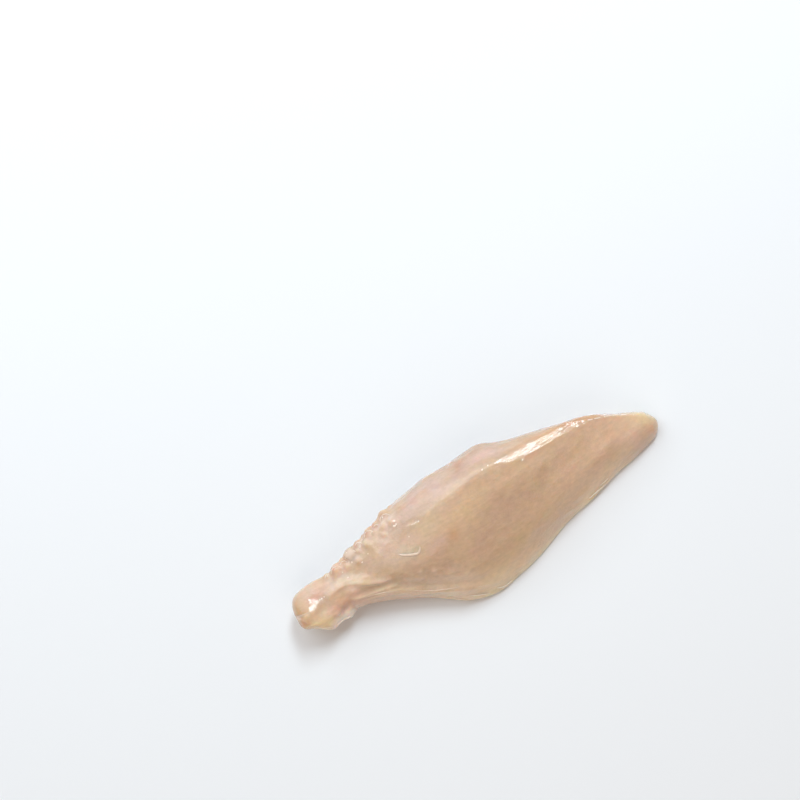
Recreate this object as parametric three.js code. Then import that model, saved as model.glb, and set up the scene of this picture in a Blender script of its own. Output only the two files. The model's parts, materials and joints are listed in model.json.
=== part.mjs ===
import * as THREE from 'three';

// A steamed chicken breast inner fillet, whole, lying on its flat side, in millimetres with +Z up.
// The origin is on the resting plane, under the middle of the outline. +X runs along the muscle, from
// the torn tendon end to the thin tip. +Y is the side of the steep flank, -Y that of the broad one.

// Driving dimensions
const LENGTH = 126.5;
const WIDTH = 44;
const HEIGHT = 20;

// How closely the skin follows the form: rings of points along the muscle, and points round each ring
const TORN_RINGS = 66;
const SMOOTH_RINGS = 34;
const CAP_RINGS = 6;
const UPPER_LEFT = 15;
const LOWER_LEFT = 6;
const LOWER_RIGHT = 7;
const UPPER_RIGHT = 22;

// The torn half, with the tendon, the ragged edge and the dimple, ends here and gets the closer rings.
const TORN_HALF_END = -0.1;

// How each flank turns over: how softly it leaves the crest, as a share of its width, the height of the
// rounded rim at its side, and how far it bulges over a straight slope. The left one is steep.
const LEFT_FLANK = { crestRound: 1.5, rim: 8, bulge: 0.5 };
const RIGHT_FLANK = { crestRound: 1.3, rim: 1.2, bulge: 0.45 };
const RIM_SQUARENESS = 2.7;

// Beside the crest the left flank is planed to an even slope. The strip begins and ends between these
// shares of LENGTH, fading in and out, and reaches this far from the crest in millimetres.
const PLANED_STRIP = { start: [0.11, 0.16], end: [0.36, 0.41], reach: [2.6, 4.2], slope: 0.35 };
const BELLY_SQUARENESS = 2.4;

// Each end closes over this length. The torn end is cut off nearly square, the tip is round.
const TORN_CAP = { length: 4.5, squareness: 3.4 };
const TIP_CAP = { length: 3.5, squareness: 2.1 };

// The long lines of the muscle. Each is a smooth curve through [share of LENGTH, share of WIDTH] for
// how far across it lies, and [share of LENGTH, share of HEIGHT] for how high.
const leftAcross = smoothCurve([
  [-0.5, 0.14], [-0.48, 0.183], [-0.435, 0.206], [-0.38, 0.204], [-0.33, 0.252], [-0.26, 0.327],
  [-0.2, 0.387], [-0.14, 0.428], [-0.07, 0.467], [0, 0.475], [0.05, 0.488], [0.085, 0.492],
  [0.14, 0.434], [0.2, 0.394], [0.275, 0.348], [0.346, 0.302], [0.42, 0.201], [0.475, 0.13],
  [0.5, 0.085],
]);
const leftUp = smoothCurve([
  [-0.5, 0.44], [-0.4, 0.43], [-0.28, 0.46], [-0.15, 0.44], [0, 0.4], [0.2, 0.38], [0.36, 0.33],
  [0.46, 0.22], [0.5, 0.15],
]);
const rightAcross = smoothCurve([
  [-0.5, -0.085], [-0.475, -0.088], [-0.435, -0.154], [-0.405, -0.132], [-0.382, -0.143],
  [-0.358, -0.112], [-0.287, -0.168], [-0.21, -0.267], [-0.152, -0.376], [-0.11, -0.453],
  [-0.055, -0.496], [-0.014, -0.494], [0.078, -0.432], [0.18, -0.32], [0.275, -0.243],
  [0.37, -0.165], [0.425, -0.13], [0.47, -0.085], [0.5, -0.05],
]);
const rightUp = smoothCurve([
  [-0.5, 0.33], [-0.4, 0.29], [-0.28, 0.22], [-0.15, 0.11], [0, 0.025], [0.25, 0.015],
  [0.42, 0.02], [0.5, 0.08],
]);
const crestAcross = smoothCurve([
  [-0.5, -0.05], [-0.45, -0.05], [-0.4, 0.025], [-0.36, 0.075], [-0.28, 0.12], [-0.2, 0.17],
  [-0.12, 0.235], [0, 0.265], [0.12, 0.268], [0.23, 0.268], [0.33, 0.266], [0.42, 0.184],
  [0.475, 0.085], [0.5, 0.03],
]);
const crestUp = smoothCurve([
  [-0.5, 0.6], [-0.475, 0.625], [-0.44, 0.595], [-0.41, 0.56], [-0.38, 0.57], [-0.35, 0.61],
  [-0.28, 0.71], [-0.18, 0.88], [-0.08, 0.97], [0.03, 1], [0.13, 0.97], [0.24, 0.87], [0.34, 0.74],
  [0.38, 0.67], [0.43, 0.52], [0.48, 0.35], [0.5, 0.27],
]);
const keelAcross = smoothCurve([[-0.5, 0.04], [-0.2, 0.02], [0, -0.02], [0.3, 0.05], [0.5, 0.03]]);
const keelUp = smoothCurve([
  [-0.5, 0.27], [-0.42, 0.2], [-0.33, 0.12], [-0.24, 0.02], [-0.15, -0.05], [0.1, -0.06],
  [0.35, -0.05], [0.45, -0.02], [0.5, 0.03],
]);

// Ridges and furrows that follow a line across the top: the line as [share of LENGTH, share of WIDTH],
// its height in millimetres, and its half width to the left and right of the line. They fade out
// towards their ends.
const FOLDS = {
  tendonBand: {
    line: [
      [-0.41, 0.06], [-0.389, 0.08], [-0.365, 0.088], [-0.345, 0.076], [-0.325, 0.056],
      [-0.3, 0.03], [-0.275, 0.005],
    ],
    height: 0.9, left: 1.8, right: 0.9,
  },
  sheetEdge: {
    line: [[-0.318, 0.03], [-0.288, 0], [-0.273, -0.02], [-0.25, -0.035]],
    height: 0.45, left: 0.9, right: 0.5,
  },
  furrowUnderBand: {
    line: [
      [-0.37, 0.01], [-0.34, -0.012], [-0.319, -0.022], [-0.297, -0.037], [-0.268, -0.05],
      [-0.24, -0.064], [-0.2, -0.07],
    ],
    height: -0.35, left: 1.4, right: 1.3,
  },
  lipRidge: {
    line: [
      [-0.355, -0.035], [-0.316, -0.07], [-0.291, -0.09], [-0.262, -0.12], [-0.232, -0.17],
      [-0.161, -0.28], [-0.092, -0.372], [-0.02, -0.43],
    ],
    height: 0.6, left: 1.3, right: 1.3,
  },
  furrowInsideLip: {
    line: [[-0.27, -0.085], [-0.224, -0.125], [-0.161, -0.22], [-0.092, -0.31], [-0.03, -0.37]],
    height: -0.4, left: 1.5, right: 1.5,
  },
  membraneBorder: {
    line: [
      [0.08, 0.31], [0.04, 0.305], [0, 0.29], [-0.06, 0.265], [-0.11, 0.235], [-0.14, 0.17],
      [-0.155, 0.09],
    ],
    height: 0.2, left: 1.8, right: 1.8,
  },
  endCrease: {
    line: [[-0.51, 0.045], [-0.484, 0.038], [-0.462, 0.032]],
    height: -0.35, left: 0.7, right: 0.7,
  },
};

// Round hollows and swellings: the place, the half length along and half width across, in millimetres,
// the turn of its long axis in degrees, and its height
const SWELLINGS = {
  flankHollow: { at: [0.1, 0.05], along: 22, across: 4.5, turn: 9, height: -0.6 },
  tendonDimple: { at: [-0.382, -0.07], along: 2.3, across: 1.5, turn: 20, height: -1.1 },
  knobRise: { at: [-0.465, 0.02], along: 3.4, across: 2.6, turn: 0, height: 0.7 },
  dimpleBead: { at: [-0.403, -0.066], along: 1.1, across: 0.8, turn: 0, height: 0.55 },
  endFacet: { at: [-0.488, -0.03], along: 3.2, across: 1.8, turn: -35, height: -0.5 },
  shoulderDip: { at: [0.03, 0.4], along: 12, across: 2.6, turn: 4, height: -0.5 },
  tornLobe: { at: [-0.25, 0.13], along: 5.5, across: 3.4, turn: 28, height: 0.6 },
};

// The ragged edge: torn crags along the left side, each [share of LENGTH, millimetres in from the
// side, size in millimetres]
const CRAGS = [
  [-0.386, 0.2, 1], [-0.357, 0.8, 2.1], [-0.335, 0.2, 1.1], [-0.311, 0.4, 2.2], [-0.283, 0.4, 1.5],
  [-0.262, 0.1, 0.9], [-0.246, 0.5, 1.7], [-0.224, 0.6, 1], [-0.194, 0.3, 1.9], [-0.172, 0.1, 0.9],
  [-0.33, 2.6, 1.2], [-0.29, 2.1, 0.9], [-0.262, 2.8, 1.3], [-0.232, 1.9, 1], [-0.205, 2.9, 1.2],
  [-0.182, 3.9, 1.4], [-0.215, 4.8, 0.8], [-0.3, 4.2, 1],
];
const CRAG_HEIGHT = 0.58;

const COOKED_MEAT = new THREE.MeshStandardMaterial({
  color: 0xcfab8d,
  roughness: 0.32,
  metalness: 0,
});

// A smooth curve through points in rising order: between two of them it is a cubic whose slopes are
// those of the line from the point before to the point after.
function smoothCurve(points) {
  const slopeAt = (i) => {
    const [before, after] = [points[Math.max(i - 1, 0)], points[Math.min(i + 1, points.length - 1)]];
    return (after[1] - before[1]) / (after[0] - before[0]);
  };
  return (along) => {
    const next = points.findIndex(([a]) => a >= along);
    const i = THREE.MathUtils.clamp((next < 0 ? points.length : next) - 1, 0, points.length - 2);
    const [[a0, v0], [a1, v1]] = [points[i], points[i + 1]];
    const gap = a1 - a0;
    const t = THREE.MathUtils.clamp((along - a0) / gap, 0, 1);
    const ease = t * t * (3 - 2 * t);
    const leave = t * (1 - t) * (1 - t) * gap * slopeAt(i);
    const arrive = t * t * (1 - t) * gap * slopeAt(i + 1);
    return v0 + (v1 - v0) * ease + leave - arrive;
  };
}

const inPlan = ([along, across]) => new THREE.Vector2(along * LENGTH, across * WIDTH);

// The height over an upper flank, from the crest (w = 0) to the side (w = 1): a slope with a rounded
// crest and a little bulge, standing on a rounded rim
function flankHeight(w, crest, side, { crestRound, rim, bulge }) {
  const ramp = (Math.hypot(w, crestRound) - crestRound) / (Math.hypot(1, crestRound) - crestRound);
  const rimHeight = Math.min(rim, 0.8 * (crest - side));
  const slope = (crest - side - rimHeight) * (1 - ramp) * (1 + bulge * ramp);
  return side + slope + rimHeight * (1 - w ** RIM_SQUARENESS) ** (1 / RIM_SQUARENESS);
}

// The height over the underside, from the keel (w = 0) to the side (w = 1)
function bellyHeight(w, keel, side) {
  return keel + (side - keel) * (1 - (1 - w ** BELLY_SQUARENESS) ** (1 / BELLY_SQUARENESS));
}

// The places w of the points over one quarter of a section, closer together towards the side
function quarterSteps(count) {
  return Array.from({ length: count }, (_, i) => {
    const t = i / count;
    return 0.45 * t + 0.55 * Math.sin((t * Math.PI) / 2);
  });
}

// How much of its full size a section has reached, this far in millimetres from an end
function capShare(distance, cap) {
  if (distance >= cap.length) return 1;
  return (1 - (1 - distance / cap.length) ** cap.squareness) ** (1 / cap.squareness);
}

const onLine = (along, across, up) =>
  new THREE.Vector3(along * LENGTH, across(along) * WIDTH, up(along) * HEIGHT);
const leftSide = (along) => onLine(along, leftAcross, leftUp);
const rightSide = (along) => onLine(along, rightAcross, rightUp);
const crest = (along) => onLine(along, crestAcross, crestUp);
const keel = (along) => onLine(along, keelAcross, keelUp);

// A point on the upper flank towards one side, w of the way from the crest to that side
function onFlank(along, w, side, flank) {
  const [top, edge] = [crest(along), side(along)];
  return top.clone().lerp(edge, w).setZ(flankHeight(w, top.z, edge.z, flank));
}

// A point on the left flank, with the strip beside the crest planed
function onLeftFlank(along, w) {
  const point = onFlank(along, w, leftSide, LEFT_FLANK);
  const top = crest(along);
  const away = point.y - top.y;
  const { start, end, reach, slope } = PLANED_STRIP;
  const begun = THREE.MathUtils.smoothstep(along, start[0], start[1]);
  const ended = THREE.MathUtils.smoothstep(along, end[0], end[1]);
  const past = THREE.MathUtils.smoothstep(away, reach[0], reach[1]);
  const share = begun * (1 - ended) * (1 - past);
  return point.setZ(THREE.MathUtils.lerp(point.z, top.z - slope * away, share));
}

// A point on the underside, w of the way from the keel to that side
function onBelly(along, w, side) {
  const [bottom, edge] = [keel(along), side(along)];
  return bottom.clone().lerp(edge, w).setZ(bellyHeight(w, bottom.z, edge.z));
}

// One ring of points, anticlockwise as seen from the tip: crest, left side, keel, right side
function ring(along) {
  const points = [
    ...quarterSteps(UPPER_LEFT).map((w) => onLeftFlank(along, w)),
    leftSide(along),
    ...quarterSteps(LOWER_LEFT).reverse().map((w) => onBelly(along, w, leftSide)),
    ...quarterSteps(LOWER_RIGHT).slice(1).map((w) => onBelly(along, w, rightSide)),
    rightSide(along),
    ...quarterSteps(UPPER_RIGHT).slice(1).reverse()
      .map((w) => onFlank(along, w, rightSide, RIGHT_FLANK)),
  ];
  const middle = leftSide(along).lerp(rightSide(along), 0.5);
  const share = Math.min(
    capShare(middle.x + LENGTH / 2, TORN_CAP),
    capShare(LENGTH / 2 - middle.x, TIP_CAP),
  );
  return { middle, points: points.map((p) => p.sub(middle).multiplyScalar(share).add(middle)) };
}

// Where the rings stand: crowded together at both ends, where the skin closes, and close on the torn half
function ringPlaces() {
  const crowded = Array.from({ length: CAP_RINGS }, (_, i) => ((i + 1) / (CAP_RINGS + 1)) ** 2.6);
  const tornStart = -0.5 + TORN_CAP.length / LENGTH;
  const tipEnd = 0.5 - TIP_CAP.length / LENGTH;
  const evenly = (from, to, count) =>
    Array.from({ length: count }, (_, i) => THREE.MathUtils.lerp(from, to, i / count));
  return [
    ...crowded.map((t) => THREE.MathUtils.lerp(-0.5, tornStart, t)),
    ...evenly(tornStart, TORN_HALF_END, TORN_RINGS),
    ...evenly(TORN_HALF_END, tipEnd, SMOOTH_RINGS),
    tipEnd,
    ...crowded.map((t) => THREE.MathUtils.lerp(0.5, tipEnd, t)).reverse(),
  ];
}

// One closed skin over the rings, with a single point at each end
function skin(rings) {
  const around = rings[0].points.length;
  const start = rings[0].middle.clone().setX(-LENGTH / 2);
  const end = rings[rings.length - 1].middle.clone().setX(LENGTH / 2);
  const vertices = [start, ...rings.flatMap((r) => r.points), end];
  const last = vertices.length - 1;
  const at = (i, k) => 1 + i * around + (k % around);
  const faces = [];
  for (let k = 0; k < around; k++) {
    faces.push(0, at(0, k), at(0, k + 1));
    faces.push(last, at(rings.length - 1, k + 1), at(rings.length - 1, k));
    for (let i = 0; i < rings.length - 1; i++) {
      faces.push(at(i, k), at(i + 1, k), at(i, k + 1));
      faces.push(at(i, k + 1), at(i + 1, k), at(i + 1, k + 1));
    }
  }
  const geometry = new THREE.BufferGeometry().setFromPoints(vertices);
  geometry.setIndex(faces);
  return geometry;
}

// The height that a fold adds at a place: a smooth bank, as wide as stated on each side of its line
function foldHeight(place, { samples, height, left, right }) {
  const distances = samples.map((sample) => sample.distanceTo(place));
  const nearest = Math.min(...distances);
  const i = distances.indexOf(nearest);
  const share = i / (samples.length - 1);
  const fade = Math.min(1, 5 * share * (1 - share) + 0.05);
  const ahead = samples[Math.min(i + 1, samples.length - 1)].clone().sub(samples[Math.max(i - 1, 0)]);
  const halfWidth = ahead.cross(place.clone().sub(samples[i])) > 0 ? left : right;
  return height * fade * Math.exp(-((nearest / halfWidth) ** 2));
}

// The height that a swelling adds at a place: a round or oval heap, turned in plan
function swellingHeight(place, { at, along, across, turn, height }) {
  const offset = place.clone().sub(inPlan(at));
  offset.rotateAround(new THREE.Vector2(), -turn * THREE.MathUtils.DEG2RAD);
  return height * Math.exp(-((offset.x / along) ** 2) - (offset.y / across) ** 2);
}

// The height that the highest crag at a point adds: each is a round knob that stands on the left flank
function cragHeight(point, crags) {
  const heights = crags.map(({ centre, size }) =>
    size * CRAG_HEIGHT * Math.exp(-((point.distanceTo(centre) / size) ** 2)));
  return Math.max(...heights);
}

// Pushes the skin out and in along its normals, and flattens what would sink below the resting plane
function addRelief(geometry) {
  geometry.computeVertexNormals();
  const { position, normal } = geometry.attributes;
  const folds = Object.values(FOLDS).map((fold) => ({
    ...fold,
    samples: new THREE.SplineCurve(fold.line.map(inPlan)).getPoints(60),
  }));
  const crags = CRAGS.map(([along, inset, size]) => {
    const w = 1 - inset / (leftSide(along).y - crest(along).y);
    return { centre: onFlank(along, w, leftSide, LEFT_FLANK), size };
  });
  const point = new THREE.Vector3();
  const out = new THREE.Vector3();
  for (let i = 0; i < position.count; i++) {
    point.fromBufferAttribute(position, i);
    out.fromBufferAttribute(normal, i);
    const place = new THREE.Vector2(point.x, point.y);
    const facesUp = THREE.MathUtils.smoothstep(out.z, -0.05, 0.4);
    let height = 0;
    for (const fold of folds) height += facesUp * foldHeight(place, fold);
    for (const swelling of Object.values(SWELLINGS)) height += facesUp * swellingHeight(place, swelling);
    height += cragHeight(point, crags);
    point.addScaledVector(out, height);
    position.setXYZ(i, point.x, point.y, Math.max(point.z, 0));
  }
  geometry.deleteAttribute('normal');
  return geometry;
}

const fillet = new THREE.Mesh(addRelief(skin(ringPlaces().map(ring))), COOKED_MEAT);
fillet.name = 'chicken_fillet';

const treat = new THREE.Group();
treat.add(fillet);

export default treat;
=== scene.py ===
import json
import math

import bpy
import numpy as np
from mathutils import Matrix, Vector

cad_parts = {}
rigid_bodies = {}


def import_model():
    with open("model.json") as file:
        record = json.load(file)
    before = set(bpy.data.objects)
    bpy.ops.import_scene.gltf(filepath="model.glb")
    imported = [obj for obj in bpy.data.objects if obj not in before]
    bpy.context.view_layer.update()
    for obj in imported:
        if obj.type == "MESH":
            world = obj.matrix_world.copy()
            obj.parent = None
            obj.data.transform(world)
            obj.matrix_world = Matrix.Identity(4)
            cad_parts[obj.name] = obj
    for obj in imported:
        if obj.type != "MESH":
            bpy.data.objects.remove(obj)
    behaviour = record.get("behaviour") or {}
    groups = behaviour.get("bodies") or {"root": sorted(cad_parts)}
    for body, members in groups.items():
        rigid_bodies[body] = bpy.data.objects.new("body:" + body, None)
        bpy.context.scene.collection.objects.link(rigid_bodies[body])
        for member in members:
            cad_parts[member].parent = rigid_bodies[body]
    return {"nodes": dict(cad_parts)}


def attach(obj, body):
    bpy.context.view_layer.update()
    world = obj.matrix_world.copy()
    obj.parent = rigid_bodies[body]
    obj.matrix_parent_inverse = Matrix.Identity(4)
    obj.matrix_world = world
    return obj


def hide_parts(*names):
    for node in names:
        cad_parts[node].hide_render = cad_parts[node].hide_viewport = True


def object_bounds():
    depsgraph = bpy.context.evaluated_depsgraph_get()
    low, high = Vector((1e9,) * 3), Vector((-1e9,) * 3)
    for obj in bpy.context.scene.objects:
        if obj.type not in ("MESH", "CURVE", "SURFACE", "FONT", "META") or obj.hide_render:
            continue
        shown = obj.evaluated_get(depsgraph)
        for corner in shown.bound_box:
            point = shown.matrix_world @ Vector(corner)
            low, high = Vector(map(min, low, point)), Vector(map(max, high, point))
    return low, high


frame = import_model()
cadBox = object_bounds()
print("frame:", ", ".join(frame["nodes"]))

mm = 0.001  # the tables are in millimetres, or in shares of the fillet's length, width and height

# The camera hangs straight over the work, turned so that the fillet lies slantwise in the picture
shot = {"over": (-3.07, 44.88), "height": 688.9, "turn": 29, "lens": 100, "sensor": 36,
        "clip": (0.01, 20)}  # the nearest and farthest seen, in metres

# Soft boxes: how far right, away and up in the picture they hang from the fillet's middle, their
# edges, power and colour
softBoxes = {
    "keyBox": {"at": (40, 680, 780), "edges": (230, 400), "watts": 6.2, "colour": "eaf8ff"},
    "wideBox": {"at": (-560, 460, 780), "edges": (900, 900), "watts": 6.2, "colour": "eaf8ff"},
    "nearBox": {"at": (260, -1000, 1000), "edges": (1500, 1500), "watts": 6.2, "colour": "ffeedd"},
}
room = {"colour": "ffeadb", "strength": 0.28}
table = {"edge": 4000, "colour": "eceef2", "roughness": 0.6}


def linear(code):
    # an sRGB hex code as opaque linear light: each channel over 0.04045 is raised to 2.4, and a
    # lower one is divided
    srgb = np.array([int(code[i:i + 2], 16) for i in (0, 2, 4)]) / 255
    light = np.where(srgb > 0.04045, ((srgb + 0.055) / 1.055) ** 2.4, srgb / 12.92)
    return (*light.tolist(), 1)


def addNode(tree, kind, sockets=None, **settings):
    # one node with its settings; a socket is filled with a number or colour, or linked to an output
    node = tree.nodes.new(kind)
    for name, value in settings.items():
        setattr(node, name, value)
    for key, value in (sockets or {}).items():
        if isinstance(value, bpy.types.NodeSocket):
            tree.links.new(value, node.inputs[key])
        else:
            node.inputs[key].default_value = value
    return node


def inPicture(right, away):
    # a step in the picture's own directions as a step in the fillet's frame
    turn = math.radians(shot["turn"])
    return (right * math.cos(turn) + away * math.sin(turn),
            away * math.cos(turn) - right * math.sin(turn))


def addCamera():
    # it looks straight down and is turned about the upright axis only
    data = bpy.data.cameras.new("overheadCamera")
    data.lens = shot["lens"]
    data.sensor_width = shot["sensor"]
    data.clip_start, data.clip_end = shot["clip"]
    camera = bpy.data.objects.new("overheadCamera", data)
    bpy.context.scene.collection.objects.link(camera)
    camera.location = (shot["over"][0] * mm, shot["over"][1] * mm, shot["height"] * mm)
    camera.rotation_euler = (0, 0, -math.radians(shot["turn"]))
    bpy.context.scene.camera = camera


def addSoftBox(name, box):
    # a lamp as large as the soft box, which faces the fillet's middle
    data = bpy.data.lights.new(name, "AREA")
    data.shape = "RECTANGLE"
    data.size, data.size_y = (edge * mm for edge in box["edges"])
    data.energy = box["watts"]
    data.color = linear(box["colour"])[:3]
    lamp = bpy.data.objects.new(name, data)
    bpy.context.scene.collection.objects.link(lamp)
    right, away, up = (v * mm for v in box["at"])
    lamp.location = (*inPicture(right, away), up)
    lamp.rotation_euler = (-lamp.location).to_track_quat("-Z", "Y").to_euler()


def addRoom():
    # an even warm glow from all round
    world = bpy.data.worlds.new("paleRoom")
    world.use_nodes = True
    sky = world.node_tree.nodes["Background"]
    sky.inputs["Color"].default_value = linear(room["colour"])
    sky.inputs["Strength"].default_value = room["strength"]
    bpy.context.scene.world = world
    bpy.context.scene.view_settings.view_transform = "Standard"


def addTable():
    # White laminate, pressed matt: pale and even, with a wide, soft sheen
    half = table["edge"] * mm / 2
    corners = [(-half, -half, 0), (half, -half, 0), (half, half, 0), (-half, half, 0)]
    mesh = bpy.data.meshes.new("tableTop")
    mesh.from_pydata(corners, [], [(0, 1, 2, 3)])
    top = bpy.data.objects.new("tableTop", mesh)
    bpy.context.scene.collection.objects.link(top)
    material = bpy.data.materials.new("pressedWhiteLaminate")
    material.use_nodes = True
    shader = material.node_tree.nodes["Principled BSDF"]
    shader.inputs["Base Color"].default_value = linear(table["colour"])
    shader.inputs["Roughness"].default_value = table["roughness"]
    mesh.materials.append(material)


addCamera()
addRoom()
for boxName, boxData in softBoxes.items():
    addSoftBox(boxName, boxData)
addTable()
print("stage: camera, soft boxes, room and table")


def smoothCurve(knots, at):
    # between two knots a cubic; its slope at a knot is that of the line from the knot before it to
    # the knot after it
    spots, values = np.array(knots, float).T
    index = np.arange(len(spots))
    before, after = np.maximum(index - 1, 0), np.minimum(index + 1, len(spots) - 1)
    slopes = (values[after] - values[before]) / (spots[after] - spots[before])
    i = np.clip(np.searchsorted(spots, at) - 1, 0, len(spots) - 2)
    gap = spots[i + 1] - spots[i]
    t = np.clip((at - spots[i]) / gap, 0, 1)
    ease = t * t * (3 - 2 * t)
    bend = t * (1 - t) ** 2 * gap * slopes[i] - t * t * (1 - t) * gap * slopes[i + 1]
    return values[i] + (values[i + 1] - values[i]) * ease + bend


def smoothPath(places, steps):
    # a Catmull-Rom curve: each span is a cubic, and the slope at a place is half the step between
    # that place's two neighbours
    places = np.array(places, float)
    last = len(places) - 1
    t = np.linspace(0, last, steps)
    i = np.minimum(t.astype(int), last - 1)
    p0, p1, p2, p3 = (places[np.clip(i + k, 0, last)] for k in (-1, 0, 1, 2))
    f = (t - i)[:, None]
    v1, v2 = (p2 - p0) / 2, (p3 - p1) / 2
    return (2 * p1 - 2 * p2 + v1 + v2) * f**3 + (3 * p2 - 3 * p1 - 2 * v1 - v2) * f**2 + v1 * f + p1


def easeBetween(low, high, value):
    # 0 up to low, 1 from high, and between them 3tt - 2ttt with t the share of the way
    t = np.clip((value - low) / (high - low), 0, 1)
    return t * t * (3 - 2 * t)


def riseAndFall(first, full, last, gone, value):
    # eases from 0 to 1 between the first two values and back to 0 between the last two
    return easeBetween(first, full, value) * easeBetween(gone, last, value)


# The fillet's long lines, from the torn end at -0.5 of the length to the tip at 0.5: across as
# shares of the width, up as shares of the height. Pairs are for the left and the right flank. A cap
# is its length and squareness.
fillet = {
    "length": 126.5, "width": 44, "height": 20,
    "rows": 372, "capRows": 14, "capCrowding": 2.6, "sideCrowding": (0.45, 0.55), "poleInset": 0.01,
    "upperLeft": 52, "lowerLeft": 34, "lowerRight": 34, "upperRight": 120, "softenings": 8,
    "crestRound": (1.5, 1.3), "rim": (8.0, 1.2), "rimShare": 0.8, "rimSquareness": 2.7,
    "bulge": (0.5, 0.45), "bellySquareness": 2.4,
    "tornCap": (4.5, 3.4), "tipCap": (3.5, 2.1),
    "planed": {"along": (0.11, 0.16, 0.36, 0.41), "reach": (4.2, 2.6), "slope": 0.35},
    "leftAcross": [
        (-0.5, 0.14), (-0.48, 0.183), (-0.435, 0.206), (-0.38, 0.204), (-0.33, 0.252),
        (-0.26, 0.327), (-0.2, 0.387), (-0.14, 0.428), (-0.07, 0.467), (0, 0.475), (0.05, 0.488),
        (0.085, 0.492), (0.14, 0.434), (0.2, 0.394), (0.275, 0.348), (0.346, 0.302), (0.42, 0.201),
        (0.475, 0.13), (0.5, 0.085)],
    "leftUp": [
        (-0.5, 0.44), (-0.4, 0.43), (-0.28, 0.46), (-0.15, 0.44), (0, 0.4), (0.2, 0.38),
        (0.36, 0.33), (0.46, 0.22), (0.5, 0.15)],
    "rightAcross": [
        (-0.5, -0.085), (-0.475, -0.088), (-0.435, -0.154), (-0.405, -0.132), (-0.382, -0.143),
        (-0.358, -0.112), (-0.287, -0.168), (-0.21, -0.267), (-0.152, -0.376), (-0.11, -0.453),
        (-0.055, -0.496), (-0.014, -0.494), (0.078, -0.432), (0.18, -0.32), (0.275, -0.243),
        (0.37, -0.165), (0.425, -0.13), (0.47, -0.085), (0.5, -0.05)],
    "rightUp": [
        (-0.5, 0.33), (-0.4, 0.29), (-0.28, 0.22), (-0.15, 0.11), (0, 0.025), (0.25, 0.015),
        (0.42, 0.02), (0.5, 0.08)],
    "crestAcross": [
        (-0.5, -0.05), (-0.45, -0.05), (-0.4, 0.025), (-0.36, 0.075), (-0.28, 0.12), (-0.2, 0.17),
        (-0.12, 0.235), (0, 0.265), (0.12, 0.268), (0.23, 0.268), (0.33, 0.266), (0.42, 0.184),
        (0.475, 0.085), (0.5, 0.03)],
    "crestUp": [
        (-0.5, 0.6), (-0.475, 0.625), (-0.44, 0.595), (-0.41, 0.56), (-0.38, 0.57), (-0.35, 0.61),
        (-0.28, 0.71), (-0.18, 0.88), (-0.08, 0.97), (0.03, 1), (0.13, 0.97), (0.24, 0.87),
        (0.34, 0.74), (0.38, 0.67), (0.43, 0.52), (0.48, 0.35), (0.5, 0.27)],
    "keelAcross": [(-0.5, 0.04), (-0.2, 0.02), (0, -0.02), (0.3, 0.05), (0.5, 0.03)],
    "keelUp": [
        (-0.5, 0.27), (-0.42, 0.2), (-0.33, 0.12), (-0.24, 0.02), (-0.15, -0.05), (0.1, -0.06),
        (0.35, -0.05), (0.45, -0.02), (0.5, 0.03)],
}
halfLength = fillet["length"] / 2


def lengthLine(name, along):
    # one of the long lines, in millimetres
    scale = fillet["width"] if name.endswith("Across") else fillet["height"]
    return smoothCurve(fillet[name], along) * scale


def quarterSteps(count):
    # shares of the way from crest or keel to the side: even steps mixed with the sine of a quarter
    # turn, which crowds them towards the side
    t = np.arange(count) / count
    even, crowded = fillet["sideCrowding"]
    return even * t + crowded * np.sin(t * math.pi / 2)


def capShare(distance, cap):
    # a section grows from nothing at the end to full size over the cap's length, as a superellipse
    length, squareness = cap
    return (1 - (1 - np.clip(distance / length, 0, 1)) ** squareness) ** (1 / squareness)


def filletRows():
    # places along the length: even steps between the caps, and in a cap steps that crowd to its end
    tornLength, tipLength = fillet["tornCap"][0], fillet["tipCap"][0]
    steps = (np.arange(fillet["capRows"]) + 1) / (fillet["capRows"] + 1)
    crowd = steps ** fillet["capCrowding"]
    middle = np.linspace(tornLength - halfLength, halfLength - tipLength, fillet["rows"])
    return np.concatenate([tornLength * crowd - halfLength, middle,
                           (halfLength - tipLength * crowd)[::-1]])


def evenlySpaced(line):
    # the same line with its points equally far apart along it
    run = np.append(0, np.linalg.norm(np.diff(line, axis=0), axis=1).cumsum())
    even = np.linspace(0, run[-1], len(run))
    return np.column_stack([np.interp(even, run, values) for values in line.T])


def spreadEvenly(rows):
    # each row's points are spaced evenly along their own line, and its corners are softened: each
    # time round, a point moves halfway to the middle between its neighbours
    for row in rows:
        row[:] = evenlySpaced(row)
    for softening in range(fillet["softenings"]):
        rows[:, 1:-1] = (rows[:, :-2] + 2 * rows[:, 1:-1] + rows[:, 2:]) / 4


def upperFlank(w, sideZ, ridgeZ, crestRound, rim, bulge):
    # height at the share w of the way from crest to side: a hyperbola-rounded slope with a bulge,
    # which falls to a rim, and the rim's superellipse over it
    ramp = (np.hypot(w, crestRound) - crestRound) / (np.hypot(1, crestRound) - crestRound)
    rim = np.minimum(rim, fillet["rimShare"] * (ridgeZ - sideZ))
    edge = rim * (1 - w**fillet["rimSquareness"]) ** (1 / fillet["rimSquareness"])
    return sideZ + (ridgeZ - sideZ - rim) * (1 - ramp) * (1 + bulge * ramp) + edge


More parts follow.
